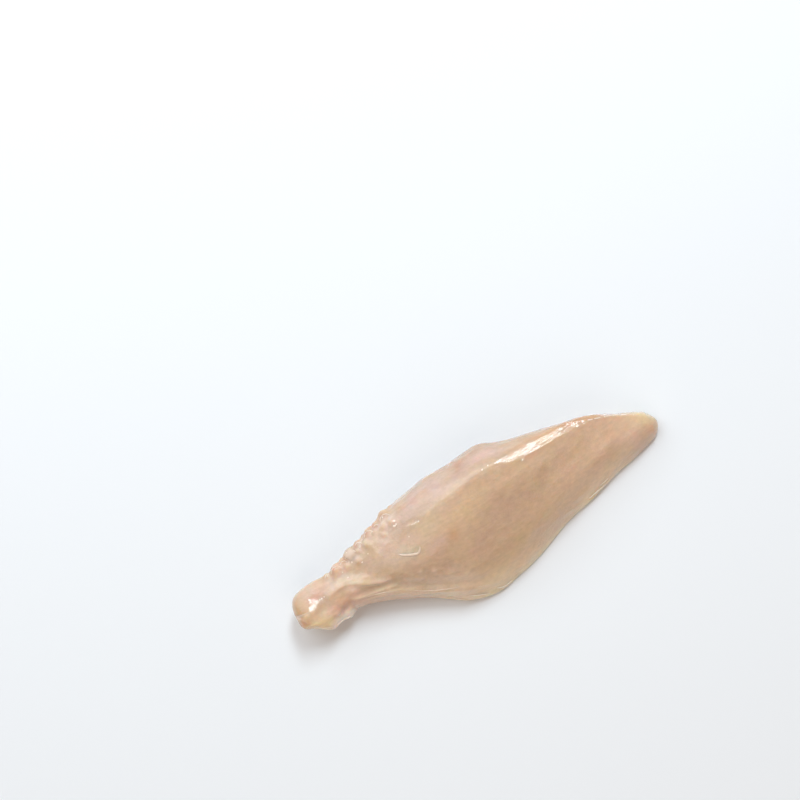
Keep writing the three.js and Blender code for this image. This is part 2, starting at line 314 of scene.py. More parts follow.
def filletForm(x):
    # grid of points, one row per x and one column per place round the section. Both upper flanks
    # fall from the crest, and the underside rises from the keel as a superellipse. Sections shrink
    # into both ends.
    along = x[:, None] / fillet["length"]
    quarters = ("upperLeft", "lowerLeft", "lowerRight", "upperRight")
    steps = [quarterSteps(fillet[name]) for name in quarters]
    w = np.concatenate([steps[0], [1], steps[1][::-1], steps[2][1:], [1], steps[3][:0:-1]])[None, :]
    turned = fillet["upperLeft"] + 1 + fillet["lowerLeft"]
    column = np.arange(w.size)[None, :]
    left = column < turned
    upper = (column < fillet["upperLeft"]) | (column >= turned + fillet["lowerRight"])
    sideY = np.where(left, lengthLine("leftAcross", along), lengthLine("rightAcross", along))
    sideZ = np.where(left, lengthLine("leftUp", along), lengthLine("rightUp", along))
    ridgeY, ridgeZ = lengthLine("crestAcross", along), lengthLine("crestUp", along)
    keelY, keelZ = lengthLine("keelAcross", along), lengthLine("keelUp", along)
    shape = [np.where(left, *fillet[name]) for name in ("crestRound", "rim", "bulge")]
    flank = upperFlank(w, sideZ, ridgeZ, *shape)
    # beside the crest the left flank is planed: its height is the crest's less a slope times the
    # distance
    planed = fillet["planed"]
    away = (sideY - ridgeY) * w
    strip = riseAndFall(*planed["along"], along) * easeBetween(*planed["reach"], away) * left
    flank = flank + (ridgeZ - planed["slope"] * away - flank) * strip
    square = fillet["bellySquareness"]
    belly = keelZ + (sideZ - keelZ) * (1 - (1 - w**square) ** (1 / square))
    y = np.where(upper, ridgeY + (sideY - ridgeY) * w, keelY + (sideY - keelY) * w)
    z = np.where(upper, flank, belly)
    middleY = (lengthLine("leftAcross", along) + lengthLine("rightAcross", along)) / 2
    middleZ = (lengthLine("leftUp", along) + lengthLine("rightUp", along)) / 2
    share = np.minimum(capShare(x + halfLength, fillet["tornCap"]),
                       capShare(halfLength - x, fillet["tipCap"]))[:, None]
    points = np.stack(np.broadcast_arrays(x[:, None], middleY + (y - middleY) * share,
                                          middleZ + (z - middleZ) * share), axis=-1)
    spreadEvenly(points[:, :fillet["upperLeft"] + 1])
    return points, np.column_stack([x, middleY[:, 0], middleZ[:, 0]])


def gridNormals(points):
    # the cross product of the steps to the neighbours along the length and round the section,
    # divided by its own length
    around = np.roll(points, -1, axis=1) - np.roll(points, 1, axis=1)
    along = np.gradient(points, axis=0)
    normals = np.cross(along, around)
    return normals / np.maximum(np.linalg.norm(normals, axis=-1, keepdims=True), 1e-12)


def inPlan(places):
    # shares of the length and width in millimetres
    return np.array(places, float) * (fillet["length"], fillet["width"])


# Strokes along a path: points on it, their reach in half widths, and how they swell from both ends
stroke = {"samples": 90, "reach": 3, "swell": 5, "atEnds": 0.05}


def nearLine(points, line, reach):
    # for each point its distance in plan to a smooth path, how far along the path that is, and
    # whether it lies on the left of it; points beyond reach of the path's box keep an endless
    # distance
    path = smoothPath(inPlan(line), stroke["samples"])
    run = np.gradient(path, axis=0)
    flat = points[..., :2].reshape(-1, 2)
    near = ((flat > path.min(0) - reach) & (flat < path.max(0) + reach)).all(1)
    distance, share = np.full(len(flat), np.inf), np.zeros(len(flat))
    left = np.zeros(len(flat), bool)
    gap = flat[near][:, None] - path
    nearest = (gap**2).sum(-1).argmin(1)
    gap = np.take_along_axis(gap, nearest[:, None, None], 1)[:, 0]
    distance[near], share[near] = np.hypot(*gap.T), nearest / (len(path) - 1)
    left[near] = run[nearest, 0] * gap[:, 1] > run[nearest, 1] * gap[:, 0]
    shape = points.shape[:-1]
    return distance.reshape(shape), share.reshape(shape), left.reshape(shape)


def strokeWeight(points, line, halfWidth, rightWidth=None):
    # a Gaussian bank that fades towards the path's ends; it may be steeper on the path's right side
    reach = stroke["reach"] * max(halfWidth, rightWidth or 0)
    distance, share, onLeft = nearLine(points, line, reach)
    width = np.where(onLeft, halfWidth, rightWidth or halfWidth)
    swell = np.minimum(1, stroke["swell"] * share * (1 - share) + stroke["atEnds"])
    return swell * np.exp(-((distance / width) ** 2))


def turnedStep(step, turn):
    # a step in plan as its parts along and across a direction that is turned by so many degrees
    c, s = math.cos(math.radians(turn)), math.sin(math.radians(turn))
    return step[..., 0] * c + step[..., 1] * s, step[..., 1] * c - step[..., 0] * s


def moundWeight(points, at, along, across, turn=0):
    # a Gaussian heap, oval and turned in plan
    u, v = turnedStep(points[..., :2] - inPlan(at), turn)
    return np.exp(-((u / along) ** 2) - (v / across) ** 2)


def waves(points, spacing, seed, stretch=(1, 1, 1), count=28, spread=(0.7, 1.4)):
    # smooth noise: a sum of cosine waves in random directions with about the given spacing, times
    # the square root of 2 over their number
    dice = np.random.default_rng(seed)
    heads = dice.normal(size=(count, 3))
    heads /= np.linalg.norm(heads, axis=1, keepdims=True)
    pitch = 2 * math.pi / (spacing * dice.uniform(*spread, count))
    shift = dice.uniform(0, 2 * math.pi, count)
    total = np.zeros(points.shape[:-1])
    for head, rate, start in zip(heads, pitch, shift):
        total += np.cos(points @ (head * rate / np.array(stretch)) + start)
    return total * math.sqrt(2 / count)


# Folds: a path over the top, half width on its left, height, half width on its right. Mounds:
# place, half sizes, turn and height. Crags: share of the length, millimetres in from the left side,
# and size.
relief = {
    "facesUp": (-0.05, 0.4),
    "folds": {
        "tendonBand": ([(-0.41, 0.06), (-0.389, 0.08), (-0.365, 0.088), (-0.345, 0.076),
            (-0.325, 0.056), (-0.3, 0.03), (-0.275, 0.005)], 1.8, 0.9, 0.9),
        "sheetEdge": ([(-0.318, 0.03), (-0.288, 0.0), (-0.273, -0.02), (-0.25, -0.035)],
            0.9, 0.45, 0.5),
        "furrowUnderBand": ([(-0.37, 0.01), (-0.34, -0.012), (-0.319, -0.022), (-0.297, -0.037),
            (-0.268, -0.05), (-0.24, -0.064), (-0.2, -0.07)], 1.4, -0.35, 1.3),
        "lipRidge": ([(-0.355, -0.035), (-0.316, -0.07), (-0.291, -0.09), (-0.262, -0.12),
            (-0.232, -0.17), (-0.161, -0.28), (-0.092, -0.372), (-0.02, -0.43)], 1.3, 0.6, 1.3),
        "furrowInsideLip": ([(-0.27, -0.085), (-0.224, -0.125), (-0.161, -0.22), (-0.092, -0.31),
            (-0.03, -0.37)], 1.5, -0.4, 1.5),
        "membraneBorder": ([(0.08, 0.31), (0.04, 0.305), (0.0, 0.29), (-0.06, 0.265),
            (-0.11, 0.235), (-0.14, 0.17), (-0.155, 0.09)], 1.8, 0.2, 1.8),
        "endCrease": ([(-0.51, 0.045), (-0.484, 0.038), (-0.462, 0.032)], 0.7, -0.35, 0.7),
    },
    "mounds": {
        "flankHollow": ((0.1, 0.05), 22, 4.5, 9, -0.6),
        "tendonDimple": ((-0.382, -0.07), 2.3, 1.5, 20, -1.1),
        "knobRise": ((-0.465, 0.02), 3.4, 2.6, 0, 0.7),
        "dimpleBead": ((-0.403, -0.066), 1.1, 0.8, 0, 0.55),
        "endFacet": ((-0.488, -0.03), 3.2, 1.8, -35, -0.5),
        "shoulderDip": ((0.03, 0.4), 12, 2.6, 4, -0.5),
        "tornLobe": ((-0.25, 0.13), 5.5, 3.4, 28, 0.6),
    },
    "crags": [
        (-0.386, 0.2, 1), (-0.357, 0.8, 2.1), (-0.335, 0.2, 1.1), (-0.311, 0.4, 2.2),
        (-0.283, 0.4, 1.5), (-0.262, 0.1, 0.9), (-0.246, 0.5, 1.7), (-0.224, 0.6, 1),
        (-0.194, 0.3, 1.9), (-0.172, 0.1, 0.9), (-0.33, 2.6, 1.2), (-0.29, 2.1, 0.9),
        (-0.262, 2.8, 1.3), (-0.232, 1.9, 1), (-0.205, 2.9, 1.2), (-0.182, 3.9, 1.4),
        (-0.215, 4.8, 0.8), (-0.3, 4.2, 1)],
    "cragHeight": 0.58,
}


def cragCentres():
    # points on the left flank, the given distance in from the side, and the crags' sizes
    along, inset, size = np.array(relief["crags"], float).T
    sideY, sideZ = lengthLine("leftAcross", along), lengthLine("leftUp", along)
    ridgeY, ridgeZ = lengthLine("crestAcross", along), lengthLine("crestUp", along)
    w = 1 - inset / (sideY - ridgeY)
    shape = [fillet[name][0] for name in ("crestRound", "rim", "bulge")]
    z = upperFlank(w, sideZ, ridgeZ, *shape)
    return np.column_stack([along * fillet["length"], ridgeY + (sideY - ridgeY) * w, z]), size


def mainRelief(points, normals):
    # the solid's own relief: folds and mounds where the skin faces up, and Gaussian crags, of which
    # the highest counts
    facesUp = easeBetween(*relief["facesUp"], normals[..., 2])
    height = np.zeros(points.shape[:-1])
    for line, halfWidth, rise, rightWidth in relief["folds"].values():
        height += facesUp * rise * strokeWeight(points, line, halfWidth, rightWidth)
    for at, along, across, turn, rise in relief["mounds"].values():
        height += facesUp * rise * moundWeight(points, at, along, across, turn)
    knobs = []
    for centre, size in zip(*cragCentres()):
        far = np.linalg.norm(points - centre, axis=-1) / size
        knobs.append(size * relief["cragHeight"] * np.exp(-(far**2)))
    return height + np.max(knobs, axis=0)


# Finer relief. Waves: height and spacing in millimetres, seed and stretch along x, y and z. Zones:
# where they ease in and out, along the length, in from the left side as a share of the width, off
# the crest in millimetres, or by how far the skin faces up. Pimples: place and radius. Facets:
# place, half sizes, turn and slopes. Strands and grooves: path, half width and height. Curds: small
# mounds on the torn side, crowded to its edge and smaller farther in.
grain = {
    "waves": {
        "swell": (0.09, 9, 3, (2, 1, 1)), "lumps": (0.03, 3.6, 4, (1.6, 1, 1)),
        "fibre": (0.008, 1.3, 5, (7, 1, 1)), "tornCrumple": (0.05, 3.8, 6, (1, 1, 1)),
        "tendonCrease": (0.02, 2.6, 7, (1, 1.8, 1)), "ridgeDimples": (0.02, 1.4, 8, (1.6, 1, 1)),
        "sideRipple": (0.05, 5, 9, (3, 1, 1)),
    },
    "facesUp": (-0.3, 0.3), "facesAside": (-0.5, 0, 0.5, 0.9), "tendonEnd": (-0.34, -0.4),
    "endFade": (0, 3), "tornAlong": (-0.43, -0.36, -0.2, -0.12), "tornAcross": (0.22, 0.02),
    "crestShift": 2, "crestBeside": (3.5, 1.5), "crestAlong": (0.06, 0.12),
    "pimples": [
        (-0.18, -0.085, 0.7), (-0.176, -0.162, 0.6), (-0.152, -0.129, 0.8), (-0.219, -0.133, 0.7),
        (-0.27, -0.082, 0.8), (-0.112, -0.349, 0.7), (-0.084, -0.259, 0.6), (0.163, 0.254, 0.5)],
    "pimpleHeight": 0.16, "pimpleTint": ("e4ccb4", 0.6), "pimpleTintSpread": 1.2,
    "facets": [((-0.446, 0.066), 2.4, 1.5, 48, (-0.27, -0.35))],
    "strands": [
        ([(-0.36, -0.02), (-0.343, -0.047), (-0.308, -0.06), (-0.273, -0.073), (-0.24, -0.1)],
         0.5, 0.16),
        ([(-0.345, -0.075), (-0.296, -0.093), (-0.263, -0.114), (-0.222, -0.164), (-0.2, -0.211)],
         0.5, 0.14),
        ([(-0.39, 0.05), (-0.362, 0.06), (-0.33, 0.035), (-0.3, 0.01), (-0.27, -0.012)], 0.4, 0.1),
        ([(-0.385, 0.105), (-0.36, 0.112), (-0.335, 0.1), (-0.31, 0.075), (-0.285, 0.045)],
         0.4, 0.1),
        ([(-0.33, -0.085), (-0.29, -0.12), (-0.25, -0.16), (-0.215, -0.215)], 0.4, 0.1)],
    "ridgeGrooves": [
        ([(0.15, 0.3), (0.2, 0.292), (0.25, 0.293), (0.3, 0.284), (0.34, 0.27)], 0.7, -0.07),
        ([(0.18, 0.335), (0.23, 0.332), (0.28, 0.32)], 0.4, -0.03)],
    "curds": {"count": 60, "seed": 21, "along": (-0.4, -0.15), "inset": 9, "crowding": 1.8,
        "radius": (0.5, 1.3), "shrink": 0.05, "rise": 0.1, "reach": 4},
}


def waveLayer(points, name):
    # one kind of waves at its own height
    height, spacing, seed, stretch = grain["waves"][name]
    return height * waves(points, spacing, seed, stretch)


def curdMounds(points, facesUp):
    # round Gaussian mounds strewn over the torn side, of which the highest counts
    curds = grain["curds"]
    dice = np.random.default_rng(curds["seed"])
    along = dice.uniform(*curds["along"], curds["count"])
    inset = curds["inset"] * dice.uniform(0, 1, curds["count"]) ** curds["crowding"]
    radius = dice.uniform(*curds["radius"], curds["count"]) * (1 - curds["shrink"] * inset)
    across = smoothCurve(fillet["leftAcross"], along) * fillet["width"] - inset
    height = np.zeros(points.shape[:-1])
    for x, y, size in zip(along * fillet["length"], across, radius):
        rows = np.abs(points[:, 0, 0] - x) < curds["reach"] * size
        far = ((points[rows][..., :2] - (x, y)) ** 2).sum(-1) / size**2
        height[rows] = np.maximum(height[rows], curds["rise"] * size * np.exp(-far))
    return height * facesUp


def fineRelief(points, normals):
    # swells, lumps and fibres all over, each zone's own waves, then pimples, grooves, strands and
    # facets; all of it fades out towards both ends
    along, across = points[..., 0] / fillet["length"], points[..., 1] / fillet["width"]
    facesUp = easeBetween(*grain["facesUp"], normals[..., 2])
    height = waveLayer(points, "swell") + waveLayer(points, "lumps") + waveLayer(points, "fibre")
    fromSide = smoothCurve(fillet["leftAcross"], along) - across
    torn = riseAndFall(*grain["tornAlong"], along) * easeBetween(*grain["tornAcross"], fromSide)
    height += torn * facesUp * waveLayer(points, "tornCrumple")
    height += curdMounds(points, facesUp)
    for x, y, size in grain["pimples"]:
        height += grain["pimpleHeight"] * facesUp * moundWeight(points, (x, y), size, size)
    offCrest = np.abs(points[..., 1] - lengthLine("crestAcross", along) - grain["crestShift"])
    ridge = easeBetween(*grain["crestBeside"], offCrest) * easeBetween(*grain["crestAlong"], along)
    height += ridge * waveLayer(points, "ridgeDimples")
    for line, halfWidth, rise in grain["ridgeGrooves"] + grain["strands"]:
        height += rise * strokeWeight(points, line, halfWidth)
    for at, long, wide, turn, slopes in grain["facets"]:
        # a flat-topped weight pulls the skin towards a plane of the given slopes through the place
        step = points - points.reshape(-1, 3)[moundWeight(points, at, 1, 1).argmax()]
        u, v = turnedStep(step, turn)
        plane = step[..., 0] * slopes[0] + step[..., 1] * slopes[1] - step[..., 2]
        height += np.exp(-((u / long) ** 4) - (v / wide) ** 4) * (normals[..., 2] > 0) * plane
    height += riseAndFall(*grain["facesAside"], normals[..., 2]) * waveLayer(points, "sideRipple")
    height += easeBetween(*grain["tendonEnd"], along) * waveLayer(points, "tendonCrease")
    return height * easeBetween(*grain["endFade"], halfLength - np.abs(points[..., 0]))


def meshPiece(name, points, quads, triangles, material):
    # millimetres become metres; the faces are smooth
    mesh = bpy.data.meshes.new(name)
    mesh.from_pydata((points * mm).tolist(), [], quads.tolist() + triangles.tolist())
    mesh.polygons.foreach_set("use_smooth", np.ones(len(mesh.polygons), bool))
    mesh.update()
    mesh.materials.append(material)
    piece = bpy.data.objects.new(name, mesh)
    bpy.context.scene.collection.objects.link(piece)
    return piece


def closedGrid(rows, columns):
    # faces of a skin of rows of points that closes round, with one more point before and after
    # them; rows that go round against the clock, seen from the first point, give faces that point
    # outwards
    i, k = np.meshgrid(np.arange(rows - 1), np.arange(columns), indexing="ij")
    here, beside = 1 + i * columns + k, 1 + i * columns + (k + 1) % columns
    quads = np.stack([here, here + columns, beside + columns, beside], axis=-1).reshape(-1, 4)
    first = 1 + np.arange(columns)
    second = np.roll(first, -1)
    lastRow = (rows - 1) * columns
    start = np.column_stack([np.zeros(columns, int), first, second])
    end = np.column_stack([np.full(columns, rows * columns + 1), second + lastRow, first + lastRow])
    return quads, np.concatenate([start, end])


def addColours(piece, name, colours):
    # one colour at each point
    attribute = piece.data.attributes.new(name, "FLOAT_COLOR", "POINT")
    attribute.data.foreach_set("color", colours.astype(np.float32).ravel())


# Tints of the meat, laid one over the other; those marked are painted light or painted shade, in
# part or in whole. Heaps: a colour, how strong, then the place, half sizes in millimetres and turn
# of what it covers
tints = {
    # partly the thin lower edge's own paler tone, partly painted light that lifts the shade on the
    # lower flank, away from the lamps
    "lowFlank": ("f0d8ac", 0.85, ((0.02, -0.42), 44, 5.5, -4)),
    "lowShoulder": ("f2e0c8", 0.8, ((-0.13, -0.235), 15, 3, -26)),
    "paleLip": ("f6e6d0", 0.7, ((-0.135, -0.35), 9, 2, -42)),
    # painted light: a pale strip along the crest, beside its highlight
    "paintedCrestLight": ("e6caac", 0.55, ((0.18, 0.195), 17, 2, 0)),
    "innerSheet": ("ecd8c6", 0.6, ((-0.16, 0.13), 9, 2.6, 22)),
    "lowNeck": ("e2cab0", 0.8, ((-0.22, -0.2), 16, 3, -32)),
    # partly own paler tone, partly painted light that lifts the shade near the tip's lower edge
    "lowTip": ("f0d4ac", 0.9, ((0.26, -0.23), 20, 3.2, 26)),
    "sheetPink": ("dabbb4", 0.6, ((-0.05, 0.37), 12, 3, 5)),
    "sheetPinkTwo": ("e4bcb2", 0.6, ((0.09, 0.41), 5, 1.6, -4)),
    "sheetYellow": ("e4cca6", 0.5, ((-0.05, 0.275), 9, 1.4, 14)),
    # partly own tone, partly painted shade that darkens the torn side where the lamps light it most
    "tornNeck": ("ceac90", 0.7, ((-0.31, 0.12), 7, 3.2, 26)),
    "brightShoulder": ("d8c0a8", 0.7, ((-0.1, 0.17), 13, 4.5, 24)),
    "midFlank": ("be9d80", 0.65, ((0.0, -0.04), 26, 7.5, 12)),
    # partly own tone, partly painted light that lifts the shade on the right flank
    "rightFlank": ("dcc09a", 0.7, ((0.12, -0.19), 24, 4.6, 17)),
    # partly own tone, partly painted light that lifts the shade on the tip half of the flank
    "tipFlank": ("eccdb0", 0.85, ((0.31, 0.03), 20, 5, 14)),
    "darkFlank": ("b8967e", 0.55, ((0.12, 0.04), 18, 3.6, 12)),
    "darkTip": ("cfa88a", 0.3, ((0.34, -0.02), 12, 2.6, 14)),
    "yellowFlank": ("dcbe98", 0.6, ((-0.03, 0.15), 9, 3.6, 20)),
    "orangeSpot": ("cc9868", 0.5, ((-0.068, 0.035), 2.4, 1.6, 30)),
    "lilacSpot": ("d2b4a6", 0.5, ((-0.105, 0.045), 2.6, 1.4, 0)),
    "lilacPatch": ("d6b8aa", 0.5, ((-0.14, 0.02), 3.4, 1.6, 0)),
    # painted shade: a brownish shadow in the dent where the sheet folds at the shoulder
    "paintedShoulderShade": ("b88868", 0.6, ((0.02, 0.43), 2.8, 1.5, 30)),
    "tipYellow": ("ecd8b0", 0.85, ((0.475, 0.09), 5, 3.2, 0)),
    "tipPink": ("ecccb6", 0.75, ((0.42, 0.02), 6, 3, 0)),
    # partly the knob's own see-through orange, partly painted shade that darkens its left side,
    # which the wide lamp lights
    "knobOrange": ("c6a27c", 0.9, ((-0.475, 0.09), 4.4, 4, 0)),
    "knobMiddle": ("ecd4bc", 0.8, ((-0.425, -0.03), 4, 1.8, -10)),
    "knobPink": ("d8a494", 0.8, ((-0.425, 0.12), 3.6, 1.7, 20)),
    "knobYellow": ("f8e8ba", 0.9, ((-0.445, -0.09), 5, 2.4, -12)),
    "knobBrown": ("cfa880", 0.7, ((-0.492, -0.02), 2.4, 1.6, -30)),
    "bruise": ("dcaa94", 0.8, ((-0.39, -0.04), 4.2, 2.4, 10)),
    "bruiseHeart": ("b47e6c", 0.65, ((-0.385, -0.06), 1.2, 0.8, 10)),
    "bandFoot": ("f2e2d0", 0.8, ((-0.345, 0.045), 3, 1.3, -22)),
    "neckPink": ("ecc0aa", 0.6, ((-0.335, -0.04), 4.2, 1.8, -20)),
    # partly the tab's own whitish membrane, partly painted light: set near white to lift the shade
    # on the tab, which faces down
    "paleTab": ("fffaf4", 1.0, ((-0.392, -0.126), 4.4, 2, 8)),
}
# Lines: a colour, how strong, the path and its half width in millimetres. Some are painted shade or
# painted light, as marked or named.
paleLines = {
    "band": ("e8d4be", 0.9, [(-0.406, 0.067), (-0.385, 0.09), (-0.362, 0.1), (-0.342, 0.085),
        (-0.324, 0.06), (-0.302, 0.022), (-0.281, -0.01), (-0.257, -0.03)], 1.7),
    "bandShade": ("c0a080", 0.25, relief["folds"]["furrowUnderBand"][0], 0.9),
    "edge": ("e8c8b4", 0.7, relief["folds"]["sheetEdge"][0], 0.5),
    "lip": ("ecd2b4", 0.75, relief["folds"]["lipRidge"][0], 0.8),
    "crease": ("f4dfc6", 0.8, [(-0.502, 0.045), (-0.484, 0.043), (-0.46, 0.036)], 0.4),
    "creaseSpur": ("f0d8bc", 0.7, [(-0.5, 0.04), (-0.487, 0.02), (-0.478, -0.03)], 0.3),
    # partly the rim's own pale tone, partly painted light that lifts the dark shade along the lower
    # edge, next to the table
    "underRim": ("f2dfbe", 0.85, [(-0.2, -0.29), (-0.152, -0.38), (-0.11, -0.455), (-0.055, -0.5),
        (-0.014, -0.5), (0.078, -0.436), (0.18, -0.325), (0.275, -0.248), (0.37, -0.17),
        (0.425, -0.135)], 1.5),
    "lowRim": ("f0dab8", 0.85, [(0.4, -0.145), (0.36, -0.175), (0.309, -0.225), (0.25, -0.27),
        (0.17, -0.335)], 0.5),
    "tipMark": ("e2c6aa", 0.6, [(0.354, 0.106), (0.36, 0.085), (0.363, 0.067)], 0.35),
    "tipMarkTwo": ("e2c6aa", 0.5, [(0.36, 0.058), (0.37, 0.07), (0.379, 0.062)], 0.4),
    "strandOne": ("e8d6b8", 0.6, grain["strands"][0][0], 0.4),
    "strandTwo": ("e4d0b0", 0.6, grain["strands"][1][0], 0.45),
    "strandShade": ("b08a64", 0.4, [(-0.35, -0.055), (-0.31, -0.077), (-0.268, -0.093),
        (-0.23, -0.13)], 0.4),
    # painted shade and painted reflection: a warm dark band along the left edge, as cast and
    # bounced by a fillet lying alongside
    "paintedNeighbourShade": ("b88a64", 0.9, [(-0.13, 0.45), (-0.07, 0.485), (0.0, 0.49), (0.085, 0.5),
        (0.14, 0.445), (0.2, 0.405), (0.275, 0.36), (0.346, 0.315), (0.4, 0.24)], 1.8),
    "paleFringe": ("e6ccb8", 0.4, [(-0.39, 0.16), (-0.34, 0.2), (-0.29, 0.255), (-0.24, 0.305),
        (-0.19, 0.35), (-0.15, 0.38)], 1.8),
    # painted shade: the same warm dark band, carried along the torn edge
    "paintedTornEdgeShade": ("cc9c7c", 0.5, [(-0.42, 0.2), (-0.36, 0.21), (-0.3, 0.275), (-0.24, 0.34),
        (-0.18, 0.4), (-0.12, 0.45)], 1.3),
    "streakHigh": ("e8cdb4", 0.6, [(-0.221, -0.179), (-0.195, -0.229), (-0.162, -0.272)], 0.4),
    "streakTorn": ("f2dccb", 0.7, [(-0.16, 0.243), (-0.141, 0.237), (-0.126, 0.232)], 0.35),
}
# The pink sheet over the left flank: its border, how softly and raggedly it starts across it, and
# its three colours, with the shares of the length between which one gives way to the next. The torn
# and middle colours are partly the membrane's own pink and partly painted shade, darkened as if a
# fillet alongside shaded them and where the lamps light this side most.
sheet = {
    "border": [
        (-0.5, 0.1), (-0.3, 0.06), (-0.2, 0.06), (-0.16, 0.1), (-0.13, 0.215), (-0.1, 0.262),
        (-0.06, 0.285), (0, 0.305), (0.06, 0.325), (0.12, 0.335), (0.2, 0.34), (0.3, 0.33),
        (0.36, 0.3), (0.42, 0.24), (0.5, 0.2)],
    "edge": (-0.08, 0.06), "ragged": [(0.012, 4, 11), (0.008, 1.6, 12)],
    "torn": "d6bca8", "middle": "c4a894", "ridge": "d0ac8e",
    "tornEnds": (-0.2, -0.12), "ridgeStarts": (0.1, 0.2),
}
# The meat. Patterns: size in millimetres, detail and roughness. Ranges: a pattern, the two values
# that it is read between and what they become. Bumps: a pattern's strength and height in
# millimetres.
meat = {
    "base": "ccac90", "pinkTone": "d6ae9a", "yellowTone": "d2b68a", "fibreStretch": (0.3, 1, 1),
    "patterns": {
        "blotch": (9, 3.0, 0.5), "fatty": (5.5, 3.0, 0.5), "mottle": (1.6, 5.0, 0.6),
        "fibre": (0.8, 3.0, 0.5), "pores": (0.6, 4.0, 0.5), "pool": (4.2, 2.0, 0.5),
        "film": (1.1, 3.0, 0.5)},
    "ranges": {
        "pinker": ("blotch", 0.35, 0.65, 0.0, 0.25), "yellower": ("fatty", 0.45, 0.7, 0.0, 0.35),
        "shade": ("mottle", 0.3, 0.7, 0.95, 1.07), "grainy": ("fibre", 0.3, 0.7, 0.955, 1.045),
        "rough": ("mottle", 0.3, 0.7, 0.34, 0.5)},
    "bumps": {"pores": (0.25, 0.4), "pool": (0.22, 1.2), "film": (0.35, 0.3)},
    "shader": {
        "IOR": 1.37, "Subsurface Weight": 0.8, "Subsurface Scale": 0.004,
        "Subsurface Radius": (1, 0.45, 0.25), "Coat Weight": 1.0, "Coat Roughness": 0.06,
        "Coat IOR": 1.4},
}


def meatColoursAndPaintedLight(points):
    # the base meat colour, then the pink sheet over the left flank, then each tint, line and pimple
    # tint mixed in by its weight; some tints and lines are painted light or painted shade, as
    # marked where they are listed
    along, across = points[:, 0] / fillet["length"], points[:, 1] / fillet["width"]
    colours = np.tile(linear(meat["base"]), (len(points), 1))

    def lay(code, weight):
        # each colour moves towards the given one by its weight
        colours[:] = colours + (np.array(linear(code)) - colours) * weight[:, None]

    ragged = sum(high * waves(points, spacing, seed) for high, spacing, seed in sheet["ragged"])
    onSheet = easeBetween(*sheet["edge"], across + ragged - smoothCurve(sheet["border"], along))
    lay(sheet["torn"], onSheet * easeBetween(*sheet["tornEnds"][::-1], along))
    lay(sheet["middle"], onSheet * riseAndFall(*sheet["tornEnds"], *sheet["ridgeStarts"], along))
    lay(sheet["ridge"], onSheet * easeBetween(*sheet["ridgeStarts"], along))
    for code, strength, heap in tints.values():
        lay(code, strength * moundWeight(points, *heap))
    for code, strength, line, halfWidth in paleLines.values():
        lay(code, strength * strokeWeight(points, line, halfWidth))
    code, strength = grain["pimpleTint"]
    for x, y, size in grain["pimples"]:
        spread = grain["pimpleTintSpread"] * size
        lay(code, strength * moundWeight(points, (x, y), spread, spread))
    return colours


def newMaterial(name, constants):
    # a material with its shader's constant values, and what its patterns are built with
    material = bpy.data.materials.new(name)
    material.use_nodes = True
    tree = material.node_tree
    shader = tree.nodes["Principled BSDF"]
    for socket, value in constants.items():
        shader.inputs[socket].default_value = value
    return material, tree, shader, addNode(tree, "ShaderNodeTexCoord").outputs["Object"]


def steamedMeat():
    # Steamed chicken breast: fine close grain, faintly see-through, under a film of its own juice.
    # It looks soft and pale, mottled at 2 to 10 mm, and its film throws sharp highlights.
    material, tree, shader, where = newMaterial("steamedBreastMeat", meat["shader"])
    drawnOut = addNode(tree, "ShaderNodeMapping", {"Vector": where, "Scale": meat["fibreStretch"]})
    noise, ranged, bumps = {}, {}, {}
    for name, (size, detail, roughness) in meat["patterns"].items():
        noise[name] = addNode(tree, "ShaderNodeTexNoise", {
            "Vector": drawnOut.outputs["Vector"] if name == "fibre" else where,
            "Scale": 1 / (size * mm), "Detail": detail, "Roughness": roughness}).outputs["Fac"]
    for name, (pattern, low, high, least, most) in meat["ranges"].items():
        ranged[name] = addNode(tree, "ShaderNodeMapRange", {
            "Value": noise[pattern], "From Min": low, "From Max": high,
            "To Min": least, "To Max": most}).outputs[0]
    # the colour at each point, with painted light and painted shade among its tints
    colour = addNode(tree, "ShaderNodeAttribute", attribute_name="meatAndPaintedLight").outputs["Color"]
    for amount, code in (("pinker", meat["pinkTone"]), ("yellower", meat["yellowTone"])):
        colour = addNode(tree, "ShaderNodeMix", {0: ranged[amount], 6: colour, 7: linear(code)},
                         data_type="RGBA").outputs[2]
    light = addNode(tree, "ShaderNodeMath", {0: ranged["shade"],
                                             1: ranged["grainy"]}, operation="MULTIPLY")
    final = addNode(tree, "ShaderNodeVectorMath", {0: colour, "Scale": light.outputs[0]},
                    operation="SCALE")
    for name, (strength, high) in meat["bumps"].items():
        bumps[name] = addNode(tree, "ShaderNodeBump", {
            "Height": noise[name], "Strength": strength, "Distance": high * mm})
    tree.links.new(final.outputs[0], shader.inputs["Base Color"])
    tree.links.new(ranged["rough"], shader.inputs["Roughness"])
    tree.links.new(bumps["pores"].outputs[0], shader.inputs["Normal"])
    tree.links.new(bumps["pool"].outputs[0], bumps["film"].inputs["Normal"])
    tree.links.new(bumps["film"].outputs[0], shader.inputs["Coat Normal"])
    return material


